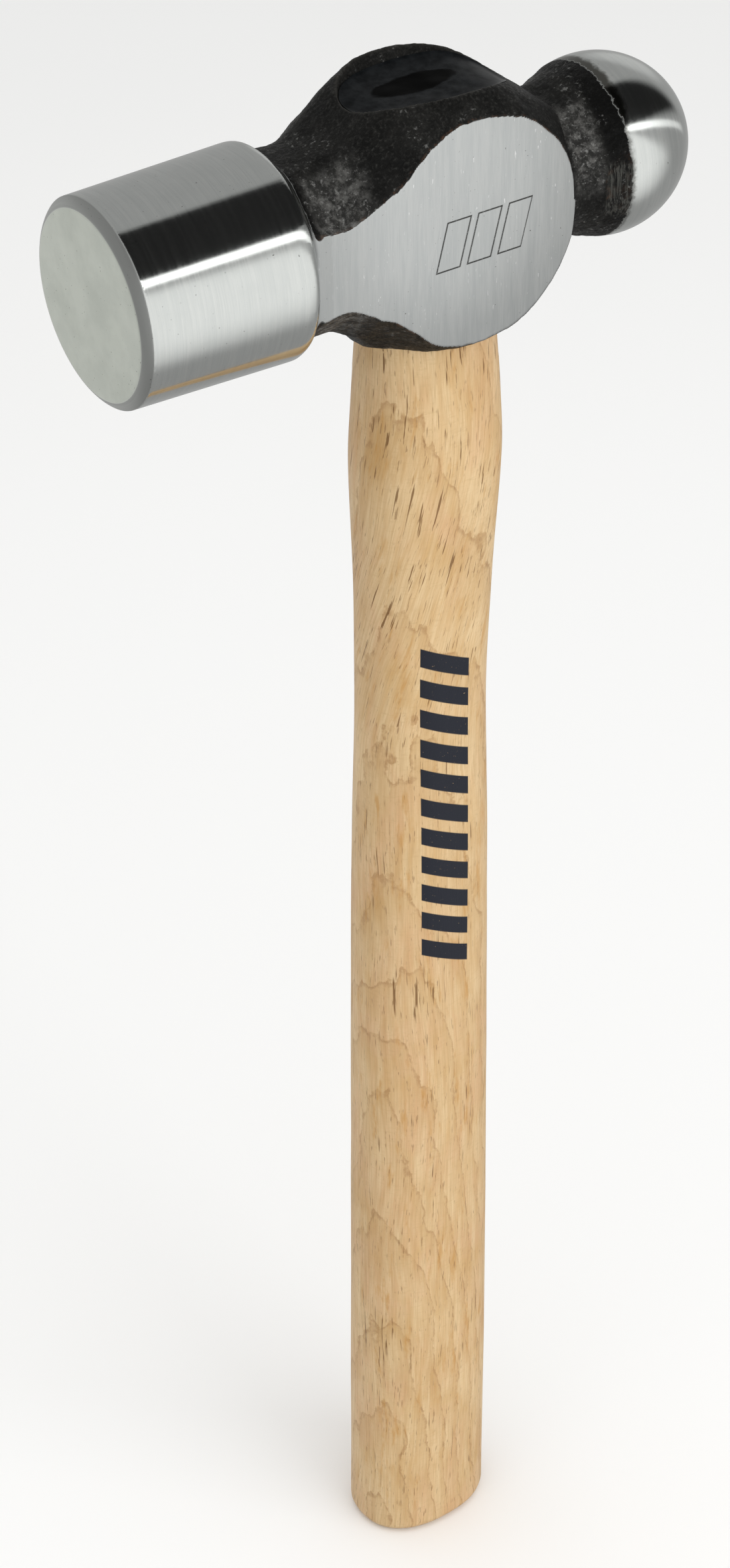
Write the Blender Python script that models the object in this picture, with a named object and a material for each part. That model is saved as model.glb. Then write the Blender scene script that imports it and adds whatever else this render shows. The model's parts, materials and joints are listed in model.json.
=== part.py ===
"""Ball peen hammer: a forged steel head wedged onto an oval wooden handle.

Frame: the origin is the centre of the handle's flat butt end. The handle runs up +Z, the
striking face looks along -X, the ball is at +X and the ground cheeks face -Y and +Y.
"""

import math

import bmesh
import bpy
from mathutils import Vector

MM = 0.001
FIT_GAP = 0.3

# Every size below is in millimetres. The head's own sizes are measured from the centre of its
# eye, which is on the handle's axis at this height above the butt.
HEAD_HEIGHT = 354.0

FACE_X = -70.7
FACE_FLAT_RADIUS = 17.2
FACE_BEVEL_LENGTH = 1.6
POLL_FRONT_RADIUS = 19.5
POLL_REAR_RADIUS = 20.3
SHOULDER_START_X = -36.0
SHOULDER_END_X = -32.7

BALL_X = 39.3
BALL_RADIUS = 17.3
BALL_NOSE_LENGTH = 18.2
BALL_NECK_HALF_WIDTH = 13.6
BALL_NECK_START_FADE_X = 31.0
BALL_NECK_END_FADE_X = 37.0

# The body is an eight-sided forging. Each station gives its place along the head, its half
# height, the half height of the flat that grinding leaves on the cheek there, and how far the
# corner facet above that flat leans from the vertical.
BODY_STATIONS = [
    (-37.0, 17.5, 9.5, 45.0),
    (-26.7, 17.3, 8.4, 44.0),
    (-20.5, 20.0, 11.3, 33.0),
    (-16.5, 24.0, 13.4, 29.0),
    (-12.0, 27.0, 17.0, 30.0),
    (-7.2, 28.5, 21.0, 33.0),
    (0.0, 28.8, 23.2, 41.0),
    (7.2, 27.2, 22.2, 46.0),
    (13.5, 23.6, 19.2, 46.0),
    (18.5, 19.4, 14.2, 40.0),
    (21.9, 16.4, 8.0, 30.0),
    (23.4, 15.0, 1.0, 22.0),
    (24.7, 14.0, -6.0, 20.0),
]
BODY_HALF_WIDTH = 18.0
BODY_START_FADE_X = 22.7
BODY_END_FADE_X = 25.7
CHEEK_HALF_WIDTH = 15.4
CHEEK_GRINDER_REACH = 30.0  # the grinding tool spans more than the whole head

# The middle of the body stands this far below the head's axis, and rises to it at either side.
EYE_DROP = 1.0
DROP_START_FADE_X = 12.0
DROP_END_FADE_X = 27.0

UNDERSIDE_HALF_HEIGHT = 24.4
UNDERSIDE_SHIFT = 0.8  # the underside's swell stands this much nearer the ball
UNDERSIDE_LEAN = 45.0

# Powers that set how crisp the octagon's corners are, and the fillets between the parts.
EDGE_SHARPNESS = 18.0
FILLET_SHARPNESS = 14.0
HEAD_RING_POINTS = 48

# Ovals: height, half length along X, half width along Y. The eye's heights are from the head's
# centre line and the handle's from its butt. The handle's last column is how far its centre
# stands forward, toward the ball: its swell is shaved a little off centre.
EYE_STATIONS = [
    (-33.0, 15.4, 11.8),
    (-25.7, 14.8, 11.2),
    (-4.0, 13.8, 9.0),
    (14.4, 15.4, 9.0),
    (20.5, 16.4, 9.3),
    (23.5, 16.7, 10.2),
    (27.0, 17.2, 12.2),
    (31.0, 18.0, 14.6),
]
HANDLE_STATIONS = [
    (0.0, 16.7, 12.7, 0.0),
    (78.0, 16.2, 12.3, 0.2),
    (159.0, 15.4, 11.7, 0.0),
    (206.0, 14.8, 11.3, 0.0),
    (243.0, 13.9, 10.6, 0.0),
    (270.0, 14.3, 10.8, 0.4),
    (299.0, 15.5, 11.8, 0.8),
    (313.0, 14.9, 11.3, 0.8),
    (328.0, 13.8, 10.6, 0.7),
]
OVAL_SHARPNESS = 2.3
OVAL_POINTS = 40
BUTT_EDGE_RADIUS = 3.0
SHAFT_START = 14.0
TENON_BOTTOM = -22.0

TENON_TOP = 16.0
SEAL_TOP = 23.3
SEAL_RECESS = 0.6
SEAL_SHARPNESS = 20.0

WOOD_WEDGE_DEPTH = 31.0
WOOD_WEDGE_HALF_LENGTH = 13.0
WOOD_WEDGE_TOP_THICKNESS = 3.6
WOOD_WEDGE_TIP_THICKNESS = 1.0
STEEL_WEDGE_DEPTH = 14.0
STEEL_WEDGE_HALF_WIDTH = 5.5
STEEL_WEDGE_TOP_THICKNESS = 2.4
STEEL_WEDGE_TIP_THICKNESS = 0.6
STEEL_WEDGE_X = 6.0
SLOT_RISE = 6.0  # the wedges' slots are cut from above the tenon's top
KERF_HALF_LENGTH = 20.0  # the sawn kerf runs right through the tenon

SHARP_EDGE_DEGREES = 32.0


def clear_scene():
    for old in list(bpy.data.objects):
        bpy.data.objects.remove(old, do_unlink=True)


def make_material(name, colour, roughness, metallic):
    material = bpy.data.materials.new(name)
    material.use_nodes = True
    shader = material.node_tree.nodes["Principled BSDF"]
    shader.inputs["Base Color"].default_value = (*colour, 1.0)
    shader.inputs["Roughness"].default_value = roughness
    shader.inputs["Metallic"].default_value = metallic
    return material


def along(stations, place):
    """Read every column of a station list at one place, on a smooth curve through the rows."""
    rows = stations
    if place <= rows[0][0]:
        return rows[0][1:]
    if place >= rows[-1][0]:
        return rows[-1][1:]
    after = next(i for i, row in enumerate(rows) if row[0] > place)
    left, right = rows[after - 1], rows[after]
    before = rows[max(after - 2, 0)]
    beyond = rows[min(after + 1, len(rows) - 1)]
    span = right[0] - left[0]
    t = (place - left[0]) / span
    values = []
    for column in range(1, len(left)):
        slope_left = (right[column] - before[column]) / (right[0] - before[0]) * span
        slope_right = (beyond[column] - left[column]) / (beyond[0] - left[0]) * span
        values.append(
            (2 * t**3 - 3 * t**2 + 1) * left[column]
            + (t**3 - 2 * t**2 + t) * slope_left
            + (3 * t**2 - 2 * t**3) * right[column]
            + (t**3 - t**2) * slope_right
        )
    return values


def smooth_step(value, start, end):
    t = min(max((value - start) / (end - start), 0.0), 1.0)
    return t * t * (3 - 2 * t)


def octagon_radius(angle, half_width, half_height, facet, lean):
    """Radius of a softened octagon; its corner facets lie at a distance facet from its axis."""
    from_side = abs((angle + math.pi / 2) % math.pi - math.pi / 2)
    supports = (
        abs(math.cos(angle)) / half_width,
        abs(math.sin(angle)) / half_height,
        max(math.cos(from_side - math.radians(lean)), 0.0) / max(facet, 1.0),
    )
    return sum(s**EDGE_SHARPNESS for s in supports) ** (-1 / EDGE_SHARPNESS)


def head_radius(x, angle):
    """Radius of the forging before its cheeks are ground and its eye is pierced."""
    below = math.sin(angle) < 0
    half_height, ground, lean = along(BODY_STATIONS, x - UNDERSIDE_SHIFT if below else x)
    if below:
        half_height, lean = min(half_height, UNDERSIDE_HALF_HEIGHT), UNDERSIDE_LEAN
    across, up = math.cos(math.radians(lean)), math.sin(math.radians(lean))
    facet = CHEEK_HALF_WIDTH * across + ground * up
    body = octagon_radius(angle, BODY_HALF_WIDTH, half_height, facet, lean)
    if x < SHOULDER_END_X:
        blend = smooth_step(x, SHOULDER_START_X, SHOULDER_END_X)
        return POLL_REAR_RADIUS + (body - POLL_REAR_RADIUS) * blend
    if x < 0:
        return body
    width = BALL_NECK_HALF_WIDTH
    neck = octagon_radius(angle, width, width, width, 45.0)
    neck *= 1 - smooth_step(x, BALL_NECK_START_FADE_X, BALL_NECK_END_FADE_X)
    reach = BALL_NOSE_LENGTH if x > BALL_X else BALL_RADIUS
    ball = BALL_RADIUS * math.sqrt(max(1 - ((x - BALL_X) / reach) ** 2, 0.0))
    body *= 1 - smooth_step(x, BODY_START_FADE_X, BODY_END_FADE_X)
    parts = (body, neck, ball)
    return sum(part**FILLET_SHARPNESS for part in parts) ** (1 / FILLET_SHARPNESS)


def body_centre(x):
    """The cheeks and the eye sit a little below the line from the face to the ball."""
    return -EYE_DROP * (1 - smooth_step(abs(x), DROP_START_FADE_X, DROP_END_FADE_X))


def loft(name, rings, material):
    """Skin a closed solid over rings of points given in millimetres, all with the same count."""
    mesh = bmesh.new()
    skins = [[mesh.verts.new(Vector(point) * MM) for point in ring] for ring in rings]
    count = len(rings[0])
    for lower, upper in zip(skins, skins[1:]):
        for i in range(count):
            j = (i + 1) % count
            mesh.faces.new((lower[i], lower[j], upper[j], upper[i]))
    mesh.faces.new(list(reversed(skins[0])))
    mesh.faces.new(skins[-1])
    bmesh.ops.recalc_face_normals(mesh, faces=mesh.faces)
    return finish_mesh(name, mesh, material)


def finish_mesh(name, mesh, material):
    data = bpy.data.meshes.new(name)
    mesh.to_mesh(data)
    mesh.free()
    if material:
        data.materials.append(material)
    data.shade_smooth()
    data.set_sharp_from_angle(angle=math.radians(SHARP_EDGE_DEGREES))
    solid = bpy.data.objects.new(name, data)
    bpy.context.scene.collection.objects.link(solid)
    return solid


def make_box(name, low, high):
    mesh = bmesh.new()
    bmesh.ops.create_cube(mesh, size=1.0)
    size = [(b - a) * MM for a, b in zip(low, high)]
    centre = [(a + b) / 2 * MM for a, b in zip(low, high)]
    bmesh.ops.scale(mesh, vec=size, verts=mesh.verts)
    bmesh.ops.translate(mesh, vec=centre, verts=mesh.verts)
    return finish_mesh(name, mesh, None)


def cut(solid, cutter):
    cutter.hide_render = True
    cutter.display_type = "WIRE"
    modifier = solid.modifiers.new("cut_" + cutter.name, "BOOLEAN")
    modifier.operation = "DIFFERENCE"
    modifier.solver = "EXACT"
    modifier.object = cutter


def oval(half_length, half_width, height, forward=0.0):
    """Points of a rounded oval in a level plane, its centre moved forward toward the ball."""
    points = []
    for i in range(OVAL_POINTS):
        angle = 2 * math.pi * i / OVAL_POINTS
        c, s = math.cos(angle), math.sin(angle)
        x = half_length * math.copysign(abs(c) ** (2 / OVAL_SHARPNESS), c)
        y = half_width * math.copysign(abs(s) ** (2 / OVAL_SHARPNESS), s)
        points.append((x + forward, y, height))
    return points


def spread(start, end, count):
    return [start + (end - start) * i / (count - 1) for i in range(count)]


def head_ring(x, radius_at):
    ring = []
    for i in range(HEAD_RING_POINTS):
        angle = 2 * math.pi * i / HEAD_RING_POINTS
        radius = radius_at(angle)
        height = HEAD_HEIGHT + body_centre(x) + radius * math.sin(angle)
        ring.append((x, radius * math.cos(angle), height))
    return ring


def build_head(material):
    rings = [head_ring(FACE_X, lambda angle: FACE_FLAT_RADIUS)]
    for step in (0.25, 0.6, 1.0):
        rise = math.sqrt(1 - (1 - step) ** 2)
        radius = FACE_FLAT_RADIUS + (POLL_FRONT_RADIUS - FACE_FLAT_RADIUS) * (step + rise) / 2
        rings.append(head_ring(FACE_X + FACE_BEVEL_LENGTH * step, lambda angle, r=radius: r))
    rings.append(head_ring(SHOULDER_START_X, lambda angle: POLL_REAR_RADIUS))
    stations = spread(SHOULDER_START_X, SHOULDER_END_X, 6)[1:]
    stations += spread(SHOULDER_END_X, BALL_X - BALL_RADIUS * 0.5, 42)[1:]
    for degrees in range(69, 175, 9):
        reach = BALL_RADIUS if degrees < 90 else BALL_NOSE_LENGTH
        stations.append(BALL_X - reach * math.cos(math.radians(degrees)))
    for x in stations:
        rings.append(head_ring(x, lambda angle, x=x: head_radius(x, angle)))
    head = loft("hammer_head", rings, material)

    reach = CHEEK_GRINDER_REACH
    ground_start = (SHOULDER_START_X + SHOULDER_END_X) / 2
    for name, inner, outer in (
        ("cheek_grinder_near", -reach, -CHEEK_HALF_WIDTH),
        ("cheek_grinder_far", CHEEK_HALF_WIDTH, reach),
    ):
        low = (ground_start, inner, HEAD_HEIGHT - reach)
        high = (BODY_END_FADE_X, outer, HEAD_HEIGHT + reach)
        cut(head, make_box(name, low, high))

    eye_rings = []
    for height in spread(EYE_STATIONS[0][0], EYE_STATIONS[-1][0], 17):
        half_length, half_width = along(EYE_STATIONS, height)
        eye_rings.append(oval(half_length, half_width, HEAD_HEIGHT + height))
    cut(head, loft("eye_cutter", eye_rings, None))
    return head


def taper(name, half_run, depth, top_thickness, tip_thickness, grow, material=None, above=0.0):
    """A wedge pointing down from the tenon's top, with its run along X, grown by a clearance."""
    top = HEAD_HEIGHT + TENON_TOP
    slope = (top_thickness - tip_thickness) / depth
    levels = ((-depth - grow, tip_thickness), (above, top_thickness + slope * above))
    rings = []
    for height, thickness in levels:
        x, y = half_run + grow, thickness / 2 + grow
        rings.append([(a, b, top + height) for a, b in ((-x, -y), (x, -y), (x, y), (-x, y))])
    return loft(name, rings, material)


def wood_wedge(name, grow, material=None, above=0.0, run=WOOD_WEDGE_HALF_LENGTH):
    return taper(name, run, WOOD_WEDGE_DEPTH, WOOD_WEDGE_TOP_THICKNESS, WOOD_WEDGE_TIP_THICKNESS,
                 grow, material, above)


def steel_wedge(name, x, grow, material=None, above=0.0):
    wedge = taper(name, STEEL_WEDGE_HALF_WIDTH, STEEL_WEDGE_DEPTH, STEEL_WEDGE_TOP_THICKNESS,
                  STEEL_WEDGE_TIP_THICKNESS, grow, material, above)
    wedge.rotation_euler.z = math.radians(90)
    wedge.location.x = x * MM
    return wedge


def build_handle(material):
    rings = []
    for angle in spread(0, 90, 5):
        inset = BUTT_EDGE_RADIUS * (1 - math.sin(math.radians(angle)))
        height = BUTT_EDGE_RADIUS * (1 - math.cos(math.radians(angle)))
        half_length, half_width, forward = along(HANDLE_STATIONS, height)
        rings.append(oval(half_length - inset, half_width - inset, height, forward))
    for height in spread(SHAFT_START, HANDLE_STATIONS[-1][0], 26):
        half_length, half_width, forward = along(HANDLE_STATIONS, height)
        rings.append(oval(half_length, half_width, height, forward))
    for height in spread(TENON_BOTTOM, TENON_TOP, 9):
        half_length, half_width = along(EYE_STATIONS, height)
        rings.append(oval(half_length - FIT_GAP, half_width - FIT_GAP, HEAD_HEIGHT + height))
    handle = loft("handle", rings, material)
    cut(handle, wood_wedge("kerf_cutter", FIT_GAP, above=SLOT_RISE, run=KERF_HALF_LENGTH))
    return handle


def seal_height(x):
    """Top of the fill: level over the middle, and just below the steel at the eye's two ends."""
    below_steel = along(BODY_STATIONS, x)[0] + body_centre(x) - SEAL_RECESS
    power = SEAL_SHARPNESS
    return (below_steel**-power + SEAL_TOP**-power) ** (-1 / power)


def build_seal(material):
    bottom = TENON_TOP + FIT_GAP
    rings = [oval(*(size - FIT_GAP for size in along(EYE_STATIONS, bottom)), HEAD_HEIGHT + bottom)]
    rim = []
    for i in range(OVAL_POINTS):
        height = SEAL_TOP
        for _ in range(4):
            x, y, _ = oval(*(size - FIT_GAP for size in along(EYE_STATIONS, height)), 0.0)[i]
            height = seal_height(x)
        rim.append((x, y))
    for share in (1.0, 0.85, 0.6, 0.3):
        rings.append([(x * share, y * share, HEAD_HEIGHT + seal_height(x * share)) for x, y in rim])
    return loft("eye_seal", rings, material)


def main():
    clear_scene()
    steel = make_material("forged_steel", (0.42, 0.42, 0.41), 0.35, 1.0)
    wood = make_material("pale_wood", (0.72, 0.5, 0.29), 0.5, 0.0)
    wedge_wood = make_material("wedge_wood", (0.55, 0.36, 0.2), 0.6, 0.0)
    wedge_steel = make_material("wedge_steel", (0.3, 0.3, 0.3), 0.5, 1.0)
    resin = make_material("black_resin", (0.01, 0.01, 0.012), 0.1, 0.0)

    build_head(steel)
    handle = build_handle(wood)
    build_seal(resin)
    wooden = wood_wedge("wooden_wedge", 0.0, wedge_wood)
    for name, x in (("steel_wedge_front", -STEEL_WEDGE_X), ("steel_wedge_rear", STEEL_WEDGE_X)):
        steel_wedge(name, x, 0.0, wedge_steel)
        slot = steel_wedge(name + "_slot", x, FIT_GAP, above=SLOT_RISE)
        cut(handle, slot)
        cut(wooden, slot)


main()
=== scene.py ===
"""Looks of the ball peen hammer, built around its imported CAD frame.

A finely meshed forged head with ground cheeks, a lacquered wooden handle and the black resin
poured over its wedges. Shapes are worked out in millimetres from the centre of the head's eye
or from the handle's butt; Blender's own objects, lights and camera are in metres.
"""

import json
import math
from functools import reduce
from types import SimpleNamespace

import bmesh
import bpy
import numpy as np
from mathutils import Matrix, Vector, noise


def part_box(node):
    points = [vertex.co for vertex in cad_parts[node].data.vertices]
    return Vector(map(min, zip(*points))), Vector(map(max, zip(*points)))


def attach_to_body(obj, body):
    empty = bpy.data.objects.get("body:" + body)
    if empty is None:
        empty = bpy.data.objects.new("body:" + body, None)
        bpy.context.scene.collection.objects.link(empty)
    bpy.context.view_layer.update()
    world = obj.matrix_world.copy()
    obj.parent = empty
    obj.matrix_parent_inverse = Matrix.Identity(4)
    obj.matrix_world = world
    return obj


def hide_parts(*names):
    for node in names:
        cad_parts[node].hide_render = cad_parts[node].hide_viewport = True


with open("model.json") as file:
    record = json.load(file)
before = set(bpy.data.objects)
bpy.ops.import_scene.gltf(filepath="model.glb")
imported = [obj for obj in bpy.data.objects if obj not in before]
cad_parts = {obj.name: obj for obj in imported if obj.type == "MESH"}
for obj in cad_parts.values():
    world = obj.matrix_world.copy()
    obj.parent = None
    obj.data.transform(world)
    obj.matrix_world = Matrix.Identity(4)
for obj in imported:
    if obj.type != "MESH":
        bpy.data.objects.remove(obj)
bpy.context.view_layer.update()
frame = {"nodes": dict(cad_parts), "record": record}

MM = 0.001

# Places that the CAD frame gives.
MOUNTS = {mount["name"]: mount["pos_m"] for mount in frame["record"]["mounts"]}
HEAD_HEIGHT = MOUNTS["striking_face"][2] / MM
FACE_X = MOUNTS["striking_face"][0] / MM
CHEEK_HALF_WIDTH = MOUNTS["cheek_far"][1] / MM
NOSE_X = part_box("hammer_head")[1].x / MM
TENON_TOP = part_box("handle")[1].z / MM - HEAD_HEIGHT

# The head, from the centre of its eye: the poll, the ball and the body between them.
FACE_FLAT_RADIUS = 17.2
FACE_BEVEL_LENGTH = 1.6
POLL_FRONT_RADIUS = 19.5
POLL_REAR_RADIUS = 20.3
SHOULDER_START_X = -36.0
SHOULDER_END_X = -32.7
GROUND_START_X = (SHOULDER_START_X + SHOULDER_END_X) / 2
BALL_X = 39.3
BALL_RADIUS = 17.3
BALL_NOSE_LENGTH = NOSE_X - BALL_X
BALL_NECK_HALF_WIDTH = 13.6
BALL_NECK_FADE_START_X = 31.0
BALL_NECK_FADE_END_X = 37.0

# Place along the head, half height, half height of the ground flat, lean of the corner facet.
BODY_STATIONS = [
    (-37.0, 17.5, 9.5, 45.0),
    (-26.7, 17.3, 8.4, 44.0),
    (-20.5, 20.0, 11.3, 33.0),
    (-16.5, 24.0, 13.4, 29.0),
    (-12.0, 27.0, 17.0, 30.0),
    (-7.2, 28.5, 21.0, 33.0),
    (0.0, 28.8, 23.2, 41.0),
    (7.2, 27.2, 22.2, 46.0),
    (13.5, 23.6, 19.2, 46.0),
    (18.5, 19.4, 14.2, 40.0),
    (21.9, 16.4, 8.0, 30.0),
    (23.4, 15.0, 1.0, 22.0),
    (24.7, 14.0, -6.0, 20.0),
]
BODY_HALF_WIDTH = 18.0
GROUND_END_X = BODY_STATIONS[-1][0] + 1
BODY_FADE_START_X = BODY_STATIONS[-1][0] - 2
EYE_DROP = 1.0
DROP_FADE_START_X = 12.0
DROP_FADE_END_X = 27.0
UNDERSIDE_HALF_HEIGHT = 24.4
UNDERSIDE_SHIFT = 0.8
UNDERSIDE_LEAN = 45.0
EDGE_SHARPNESS = 18.0
FILLET_SHARPNESS = 14.0

# Ovals: height, half length along X, half width along Y, and for the handle how far forward.
EYE_STATIONS = [
    (-33.0, 15.4, 11.8),
    (-25.7, 14.8, 11.2),
    (-4.0, 13.8, 9.0),
    (14.4, 15.4, 9.0),
    (20.5, 16.4, 9.3),
    (23.5, 16.7, 10.2),
    (27.0, 17.2, 12.2),
    (31.0, 18.0, 14.6),
]
HANDLE_STATIONS = [
    (0.0, 16.7, 12.7, 0.0),
    (78.0, 16.2, 12.3, 0.2),
    (159.0, 15.4, 11.7, 0.0),
    (206.0, 14.8, 11.3, 0.0),
    (243.0, 13.9, 10.6, 0.0),
    (270.0, 14.3, 10.8, 0.4),
    (299.0, 15.5, 11.8, 0.8),
    (313.0, 14.9, 11.3, 0.8),
    (328.0, 13.8, 10.6, 0.7),
]
OVAL_SHARPNESS = 2.3
BUTT_EDGE_RADIUS = 3.0
TENON_BOTTOM = -22.0
SLOT_RISE = 6.0
STEEL_WEDGES = ("steel_wedge_front", "steel_wedge_rear")
FIT_GAP = 0.3
HANDLE_SHARP_DEGREES = 35

# The fill climbs the eye's wall, sags in its middle and has slow waves (height, size, octaves).
RESIN_TOP = 23.3
RESIN_RECESS = 0.6
RESIN_BLEND = 20
RESIN_HALF_WIDTH = 10.0
RESIN_CLIMB = 0.55
RESIN_CLIMB_REACH = 0.6
RESIN_SAG = 0.5
RESIN_WAVES = (0.12, 7.0, 2)
RESIN_SHARP_DEGREES = 50

# The finish: where polish, grinding and forging scale meet, and the bumps of the forging and
# the shaved wood, each as height, size and octaves.
POLL_POLISH_END_X = -33.8
BALL_POLISH_START_X = 35.6
MATERIAL_JOINS_X = (-30.0, 31.0)
BROAD_BUMPS = (0.2, 6.0, 2)
FINE_BUMPS = (0.1, 1.6, 3)
SHAVING_MARKS = (0.12, 9.0, 2)

# How fine the meshes are, and how much the eye's rim and the poll's shoulder are rounded.
VOXEL = 0.3
HEAD_POINTS_ROUND = 360
BEVEL_RINGS = 10
POLL_RINGS = 40
BODY_RINGS = 260
NOSE_RINGS = 60
NOSE_LAST_DEGREES = 89.3
EYE_POINTS_ROUND = 160
EYE_RINGS = 90
HANDLE_POINTS_ROUND = 240
BUTT_RINGS = 12
SHAFT_RINGS = 330
TENON_RINGS = 30
RESIN_POINTS_ROUND = 200
RIM_REACH = 1.2
RIM_FADE_END = 2.2
RIM_ROUNDS = 12
SHOULDER_ROUNDS = 60
TINY = 1e-6

# The camera, from the centre of the head's eye, and the place the lamps point at, in metres.
CAMERA_AZIMUTH = -33.47
CAMERA_ELEVATION = 37.45
CAMERA_ROLL = -0.41
CAMERA_PLACE = (-0.31886, -0.4616, 0.29435)
CAMERA_LENS = 78.05
SENSOR_WIDTH = 36.0
LAMP_TARGET = (0.0, 0.0, 0.25)


# ---------------------------------------------------------------- shapes


def smooth_step(value, start, end):
    """0 at start, 1 at end and smooth between."""
    t = np.clip((np.asarray(value, float) - start) / (end - start), 0.0, 1.0)
    return t * t * (3 - 2 * t)


def along(stations, place):
    """Every column of a station list at each place, on a smooth curve through its rows."""
    rows = np.array(stations)
    place = np.clip(np.asarray(place, float), rows[0, 0], rows[-1, 0])
    right = np.clip(np.searchsorted(rows[:, 0], place, side="right"), 1, len(rows) - 1)
    left = right - 1
    before = np.maximum(left - 1, 0)
    beyond = np.minimum(right + 1, len(rows) - 1)
    span = rows[right, 0] - rows[left, 0]
    t = (place - rows[left, 0]) / span
    columns = []
    for values in rows[:, 1:].T:
        slope_left = (values[right] - values[before]) / (rows[right, 0] - rows[before, 0]) * span
        slope_right = (values[beyond] - values[left]) / (rows[beyond, 0] - rows[left, 0]) * span
        columns.append(
            (2 * t**3 - 3 * t**2 + 1) * values[left]
            + (t**3 - 2 * t**2 + t) * slope_left
            + (3 * t**2 - 2 * t**3) * values[right]
            + (t**3 - t**2) * slope_right
        )
    return columns


def octagon_radius(angle, half_width, half_height, facet, lean):
    """Radius of a softened octagon whose corner facets lie at a distance facet from its axis."""
    from_side = np.abs((angle + math.pi / 2) % math.pi - math.pi / 2)
    total = (np.abs(np.cos(angle)) / half_width) ** EDGE_SHARPNESS
    total += (np.abs(np.sin(angle)) / half_height) ** EDGE_SHARPNESS
    total += (np.maximum(np.cos(from_side - lean), 0) / np.maximum(facet, 1)) ** EDGE_SHARPNESS
    return total ** (-1 / EDGE_SHARPNESS)


def body_radius(x, angle):
    """The body's softened octagon, whose underside is a little further back and less tall."""
    below = np.sin(angle) < 0
    half_height, ground, lean = along(BODY_STATIONS, np.where(below, x - UNDERSIDE_SHIFT, x))
    half_height = np.where(below, np.minimum(half_height, UNDERSIDE_HALF_HEIGHT), half_height)
    lean = np.radians(np.where(below, UNDERSIDE_LEAN, lean))
    facet = CHEEK_HALF_WIDTH * np.cos(lean) + ground * np.sin(lean)
    return octagon_radius(angle, BODY_HALF_WIDTH, half_height, facet, lean)


def poll_radius(x):
    """The rounded bevel round the striking face, then the slightly tapered poll."""
    step = np.clip((x - FACE_X) / FACE_BEVEL_LENGTH, 0.0, 1.0)
    bulge = (step + np.sqrt(1 - (1 - step) ** 2)) / 2
    bevel = FACE_FLAT_RADIUS + (POLL_FRONT_RADIUS - FACE_FLAT_RADIUS) * bulge
    bevel_end = FACE_X + FACE_BEVEL_LENGTH
    taper = np.clip((x - bevel_end) / (SHOULDER_START_X - bevel_end), 0.0, 1.0)
    return bevel + (POLL_REAR_RADIUS - POLL_FRONT_RADIUS) * taper


def ball_radius(x):
    """A ball whose nose is a little longer than its radius."""
    reach = np.where(x > BALL_X, BALL_NOSE_LENGTH, BALL_RADIUS)
    return BALL_RADIUS * np.sqrt(np.maximum(1 - ((x - BALL_X) / reach) ** 2, 0.0))


def head_radius(x, angle):
    """Radius of the forging about its axis, before its cheeks are ground and its eye pierced."""
    body = body_radius(x, angle)
    front = poll_radius(x)
    front = front + (body - front) * smooth_step(x, SHOULDER_START_X, SHOULDER_END_X)
    neck_width = BALL_NECK_HALF_WIDTH
    neck = octagon_radius(angle, neck_width, neck_width, neck_width, math.pi / 4)
    neck = neck * (1 - smooth_step(x, BALL_NECK_FADE_START_X, BALL_NECK_FADE_END_X))
    body = body * (1 - smooth_step(x, BODY_FADE_START_X, GROUND_END_X))
    rear = sum(part**FILLET_SHARPNESS for part in (body, neck, ball_radius(x)))
    return np.where(x < 0, front, rear ** (1 / FILLET_SHARPNESS))


def body_centre(x):
    """The cheeks and the eye sit a little below the line from the face to the ball."""
    return -EYE_DROP * (1 - smooth_step(np.abs(x), DROP_FADE_START_X, DROP_FADE_END_X))


def oval(half_length, half_width, height, count, forward=0.0):
    """Points of a rounded oval in a level plane."""
    angle = np.linspace(0, 2 * math.pi, count, endpoint=False)
    power = 2 / OVAL_SHARPNESS
    x = half_length * np.copysign(np.abs(np.cos(angle)) ** power, np.cos(angle))
    y = half_width * np.copysign(np.abs(np.sin(angle)) ** power, np.sin(angle))
    return np.stack([x + forward, y, np.full(count, height)], axis=1)


# ---------------------------------------------------------------- meshes


def link(thing):
    """Put an object in the scene."""
    bpy.context.scene.collection.objects.link(thing)
    return thing


def mesh_object(name, points, faces):
    """A new object in the scene, from points in metres."""
    data = bpy.data.meshes.new(name)
    data.from_pydata([tuple(p) for p in points], [], faces)
    data.update()
    return link(bpy.data.objects.new(name, data))


def loft(name, rings):
    """A closed skin over rings of points in millimetres, all with the same count."""
    count = len(rings[0])
    points = np.concatenate(rings) * MM
    starts = np.arange(len(rings) - 1)[:, None] * count
    i = np.arange(count)
    j = (i + 1) % count
    corners = (starts + i, starts + j, starts + count + j, starts + count + i)
    quads = np.stack(corners, axis=-1).reshape(-1, 4).tolist()
    quads.append(list(range(count - 1, -1, -1)))
    quads.append(list(range((len(rings) - 1) * count, len(rings) * count)))
    return mesh_object(name, points, quads)


def take_modifiers(thing):
    """Keep the mesh that the modifiers make, and drop them."""
    graph = bpy.context.evaluated_depsgraph_get()
    made = bpy.data.meshes.new_from_object(thing.evaluated_get(graph))
    thing.modifiers.clear()
    old = thing.data
    thing.data = made
    bpy.data.meshes.remove(old)


def cut(solid, cutters):
    """Take the cutters away from the solid, and delete them."""
    for cutter in cutters:
        modifier = solid.modifiers.new(cutter.name, "BOOLEAN")
        modifier.operation = "DIFFERENCE"
        modifier.solver = "MANIFOLD"
        modifier.object = cutter
    take_modifiers(solid)
    for cutter in cutters:
        bpy.data.objects.remove(cutter)


def read_points(data):
    """A mesh's points in millimetres."""
    points = np.empty(len(data.vertices) * 3)
    data.vertices.foreach_get("co", points)
    return points.reshape(-1, 3) / MM


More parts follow.
